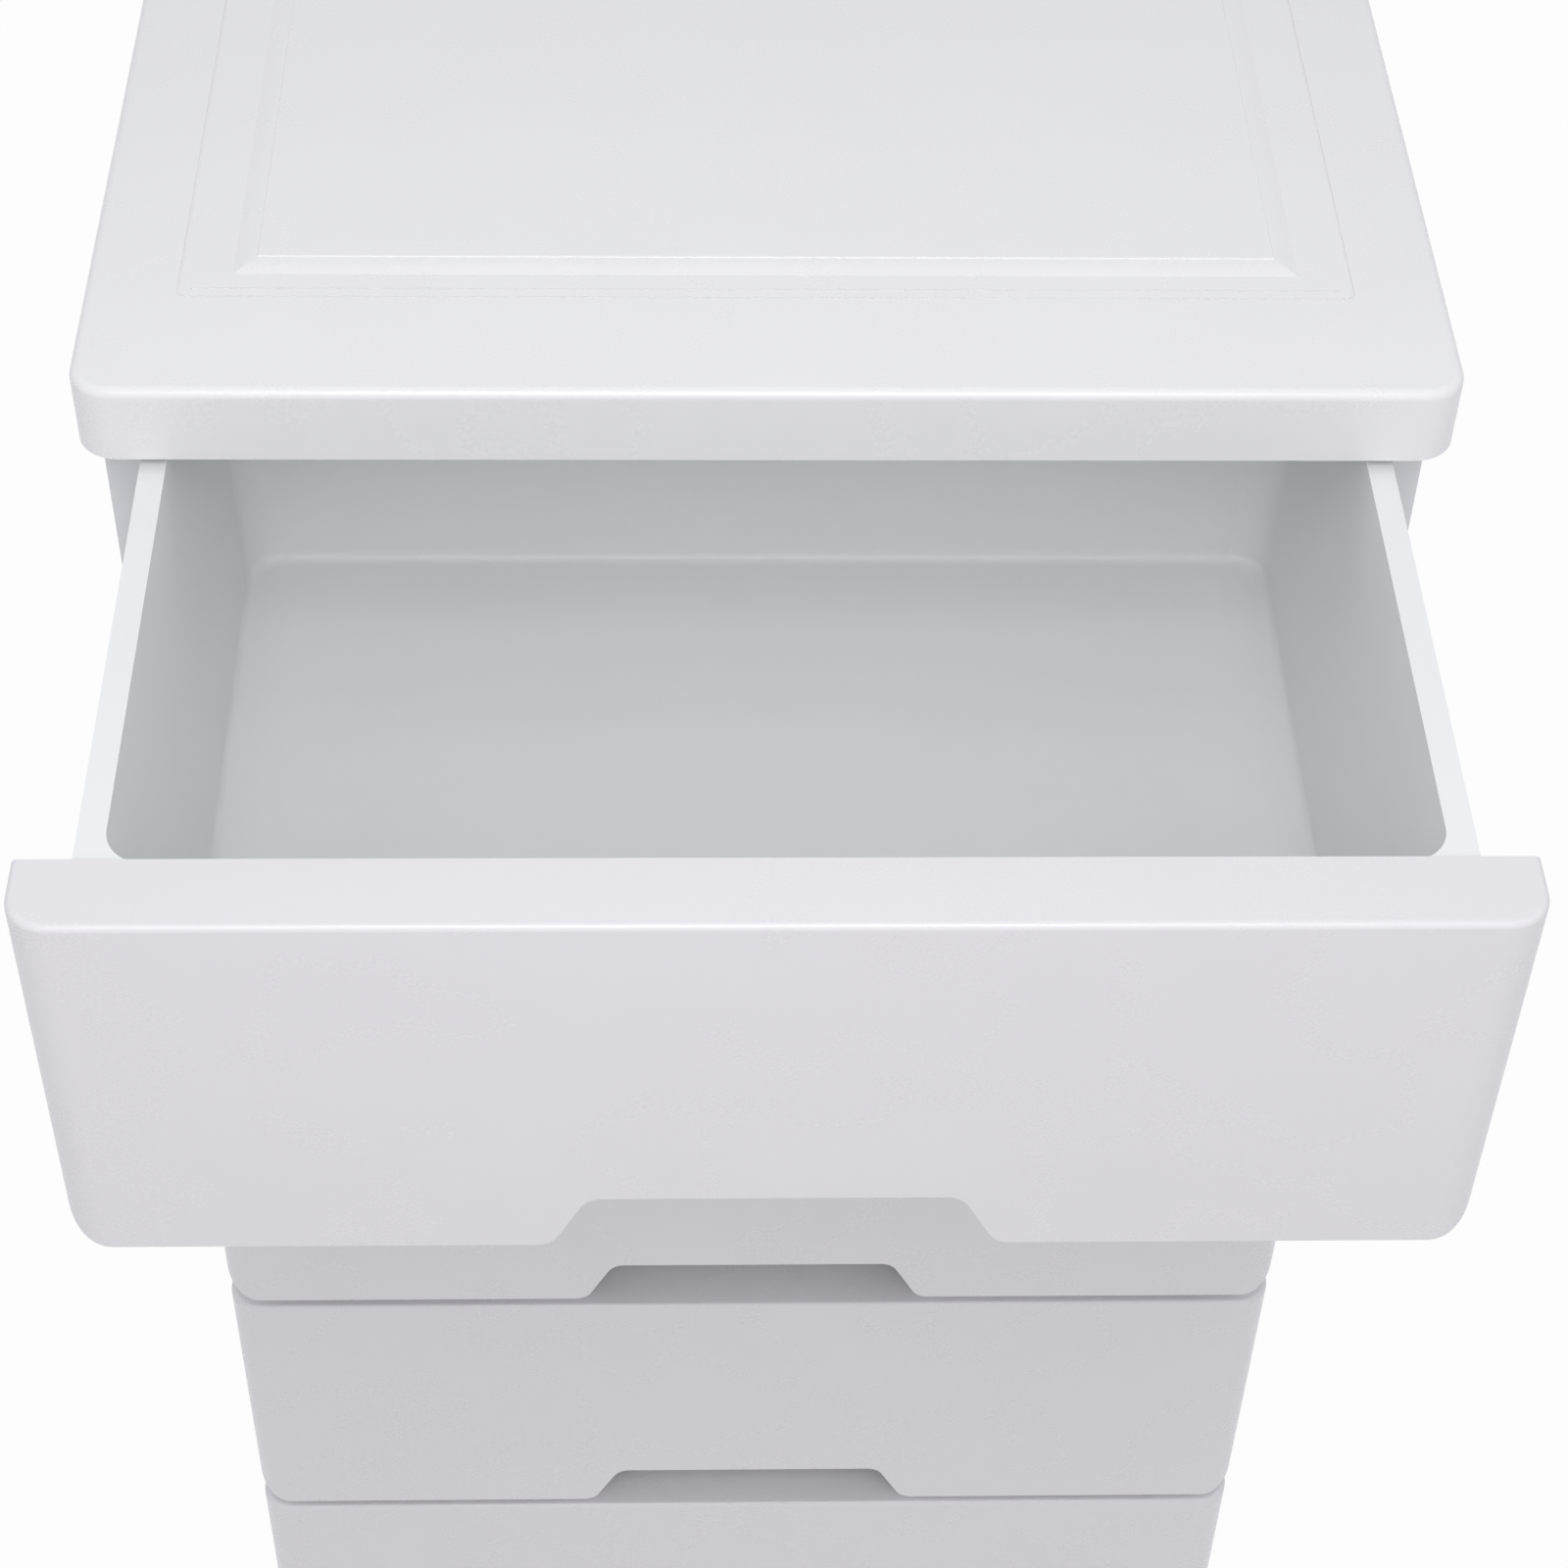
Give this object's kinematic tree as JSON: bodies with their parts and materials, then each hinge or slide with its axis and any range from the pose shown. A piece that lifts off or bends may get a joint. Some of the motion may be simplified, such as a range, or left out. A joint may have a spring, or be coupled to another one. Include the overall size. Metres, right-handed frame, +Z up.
{
  "type": "plastic drawer tower",
  "caption": "Rolling plastic drawer tower: stacked tiers with slide-out drawers, hollow fronts with a finger notch, a framed top cover and a plinth on swivel casters.",
  "frame": {"origin": "on the floor, in the middle of the cabinet's plan and of the four casters", "axes": "+Z up, -Y towards the drawer fronts, +X to the viewer's right"},
  "size_m": [0.42, 0.508, 0.85],
  "materials": {
    "cover_plastic": "moulded, satin gloss",
    "front_plastic": "moulded, satin gloss",
    "drawer_plastic": "moulded, satin gloss",
    "cabinet_plastic": "moulded, fine satin texture",
    "caster_plastic": "moulded nylon",
    "tyre": "smooth soft tread",
    "steel": "zinc-plated"
  },
  "bodies": {
    "cabinet": {"top_cover": "cover_plastic", "plinth": "cabinet_plastic", "side_panel_left_1": "cabinet_plastic", "side_panel_right_1": "cabinet_plastic", "back_panel_1": "cabinet_plastic", "divider_1": "cabinet_plastic", "side_panel_left_2": "cabinet_plastic", "side_panel_right_2": "cabinet_plastic", "back_panel_2": "cabinet_plastic", "divider_2": "cabinet_plastic", "side_panel_left_3": "cabinet_plastic", "side_panel_right_3": "cabinet_plastic", "back_panel_3": "cabinet_plastic", "divider_3": "cabinet_plastic", "side_panel_left_4": "cabinet_plastic", "side_panel_right_4": "cabinet_plastic", "back_panel_4": "cabinet_plastic", "divider_4": "cabinet_plastic", "side_panel_left_5": "cabinet_plastic", "side_panel_right_5": "cabinet_plastic", "back_panel_5": "cabinet_plastic", "caster_stem_front_left": "steel", "caster_stem_front_right": "steel", "caster_stem_rear_left": "steel", "caster_stem_rear_right": "steel"},
    "drawer_1": {"drawer_box_1": "drawer_plastic", "drawer_front_1": "front_plastic"},
    "drawer_2": {"drawer_box_2": "drawer_plastic", "drawer_front_2": "front_plastic"},
    "drawer_3": {"drawer_box_3": "drawer_plastic", "drawer_front_3": "front_plastic"},
    "drawer_4": {"drawer_box_4": "drawer_plastic", "drawer_front_4": "front_plastic"},
    "drawer_5": {"drawer_box_5": "drawer_plastic", "drawer_front_5": "front_plastic"},
    "caster_front_left": {"caster_fork_front_left": "caster_plastic", "caster_axle_front_left": "steel"},
    "wheel_front_left": {"wheel_hub_front_left": "caster_plastic", "wheel_tyre_front_left": "tyre"},
    "caster_front_right": {"caster_fork_front_right": "caster_plastic", "caster_axle_front_right": "steel"},
    "wheel_front_right": {"wheel_hub_front_right": "caster_plastic", "wheel_tyre_front_right": "tyre"},
    "caster_rear_left": {"caster_fork_rear_left": "caster_plastic", "caster_axle_rear_left": "steel"},
    "wheel_rear_left": {"wheel_hub_rear_left": "caster_plastic", "wheel_tyre_rear_left": "tyre"},
    "caster_rear_right": {"caster_fork_rear_right": "caster_plastic", "caster_axle_rear_right": "steel"},
    "wheel_rear_right": {"wheel_hub_rear_right": "caster_plastic", "wheel_tyre_rear_right": "tyre"}
  },
  "joints": [
    {"name": "drawer_1_slide", "type": "slide", "parent": "cabinet", "child": "drawer_1", "axis": [0, -1, 0], "range_m": [-0.188, 0.012]},
    {"name": "drawer_2_slide", "type": "slide", "parent": "cabinet", "child": "drawer_2", "axis": [0, -1, 0], "range_m": [0, 0.2]},
    {"name": "drawer_3_slide", "type": "slide", "parent": "cabinet", "child": "drawer_3", "axis": [0, -1, 0], "range_m": [0, 0.2]},
    {"name": "drawer_4_slide", "type": "slide", "parent": "cabinet", "child": "drawer_4", "axis": [0, -1, 0], "range_m": [0, 0.2]},
    {"name": "drawer_5_slide", "type": "slide", "parent": "cabinet", "child": "drawer_5", "axis": [0, -1, 0], "range_m": [0, 0.2]},
    {"name": "caster_front_left_swivel", "type": "hinge", "parent": "cabinet", "child": "caster_front_left", "pos_m": [-0.172, -0.122, 0.05], "axis": [0, 0, 1], "continuous": true},
    {"name": "wheel_front_left_spin", "type": "hinge", "parent": "caster_front_left", "child": "wheel_front_left", "pos_m": [-0.172, -0.136, 0.02], "axis": [1, 0, 0], "continuous": true},
    {"name": "caster_front_right_swivel", "type": "hinge", "parent": "cabinet", "child": "caster_front_right", "pos_m": [0.172, -0.122, 0.05], "axis": [0, 0, 1], "continuous": true},
    {"name": "wheel_front_right_spin", "type": "hinge", "parent": "caster_front_right", "child": "wheel_front_right", "pos_m": [0.172, -0.136, 0.02], "axis": [1, 0, 0], "continuous": true},
    {"name": "caster_rear_left_swivel", "type": "hinge", "parent": "cabinet", "child": "caster_rear_left", "pos_m": [-0.172, 0.122, 0.05], "axis": [0, 0, 1], "continuous": true},
    {"name": "wheel_rear_left_spin", "type": "hinge", "parent": "caster_rear_left", "child": "wheel_rear_left", "pos_m": [-0.172, 0.136, 0.02], "axis": [1, 0, 0], "continuous": true},
    {"name": "caster_rear_right_swivel", "type": "hinge", "parent": "cabinet", "child": "caster_rear_right", "pos_m": [0.172, 0.122, 0.05], "axis": [0, 0, 1], "continuous": true},
    {"name": "wheel_rear_right_spin", "type": "hinge", "parent": "caster_rear_right", "child": "wheel_rear_right", "pos_m": [0.172, 0.136, 0.02], "axis": [1, 0, 0], "continuous": true}
  ]
}
